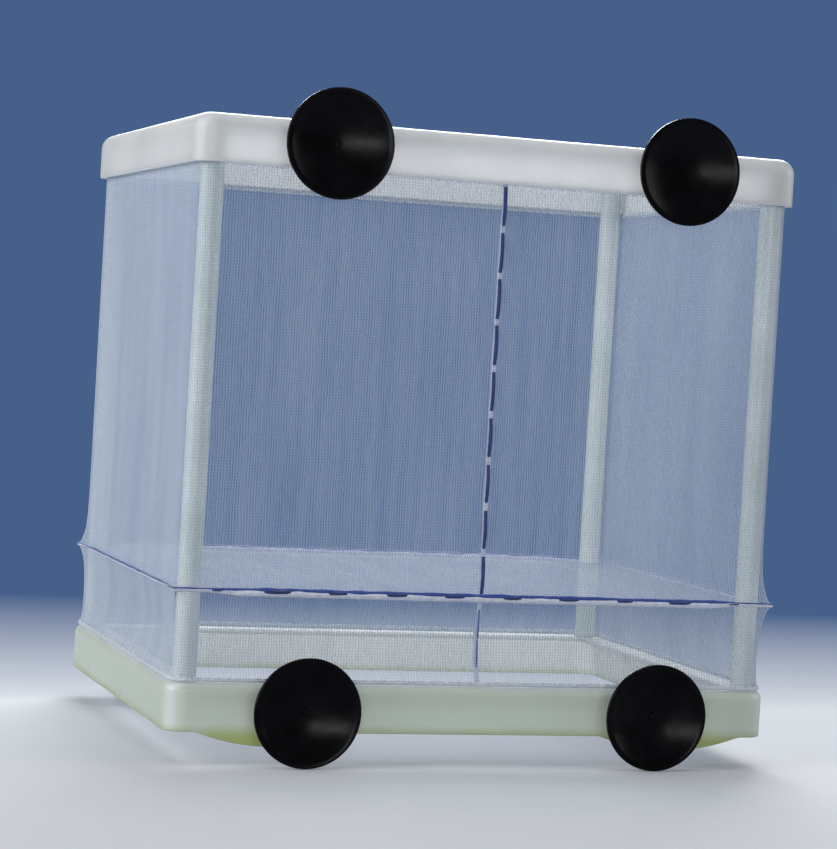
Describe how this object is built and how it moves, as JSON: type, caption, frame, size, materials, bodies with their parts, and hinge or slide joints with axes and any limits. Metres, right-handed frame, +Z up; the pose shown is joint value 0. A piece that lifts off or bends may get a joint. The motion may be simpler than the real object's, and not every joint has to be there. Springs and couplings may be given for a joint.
{
  "type": "net fish breeding box",
  "caption": "Net breeding box: fine net bag on a frame of two rims and corner posts, hung on aquarium glass by suction cups.",
  "frame": {"origin": "on the aquarium glass that the cups press on, at the middle of the four cups", "axes": "+Y from the glass into the tank, through the box; +Z up; +X to the right for someone who looks along +Y"},
  "size_m": [0.165, 0.132, 0.171],
  "materials": {
    "rim_plastic": "moulded, smooth",
    "post_plastic": "extruded tube, smooth",
    "net": "fine warp-knitted nylon net",
    "seam_thread": "sewing thread over folded net",
    "hem_tape": "folded net hem",
    "elastic": "woven elastic",
    "cup_rubber": "smooth moulded PVC"
  },
  "bodies": {
    "frame": {"top_rim": "rim_plastic", "bottom_rim": "rim_plastic", "front_left_post": "post_plastic", "front_right_post": "post_plastic", "back_left_post": "post_plastic", "back_right_post": "post_plastic", "wall_net": "net", "floor_net": "net", "front_seam": "seam_thread", "floor_seam": "seam_thread", "top_hem": "hem_tape", "top_elastic": "elastic", "bottom_hem": "hem_tape", "bottom_elastic": "elastic"},
    "top_left_cup_body": {"top_left_cup": "cup_rubber"},
    "top_right_cup_body": {"top_right_cup": "cup_rubber"},
    "bottom_left_cup_body": {"bottom_left_cup": "cup_rubber"},
    "bottom_right_cup_body": {"bottom_right_cup": "cup_rubber"}
  },
  "joints": [
    {"name": "top_left_swivel", "type": "hinge", "parent": "frame", "child": "top_left_cup_body", "pos_m": [-0.0475, 0.007, 0.0715], "axis": [0, 1, 0], "continuous": true},
    {"name": "top_right_swivel", "type": "hinge", "parent": "frame", "child": "top_right_cup_body", "pos_m": [0.0475, 0.007, 0.0715], "axis": [0, 1, 0], "continuous": true},
    {"name": "bottom_left_swivel", "type": "hinge", "parent": "frame", "child": "bottom_left_cup_body", "pos_m": [-0.0475, 0.007, -0.0715], "axis": [0, 1, 0], "continuous": true},
    {"name": "bottom_right_swivel", "type": "hinge", "parent": "frame", "child": "bottom_right_cup_body", "pos_m": [0.0475, 0.007, -0.0715], "axis": [0, 1, 0], "continuous": true}
  ]
}
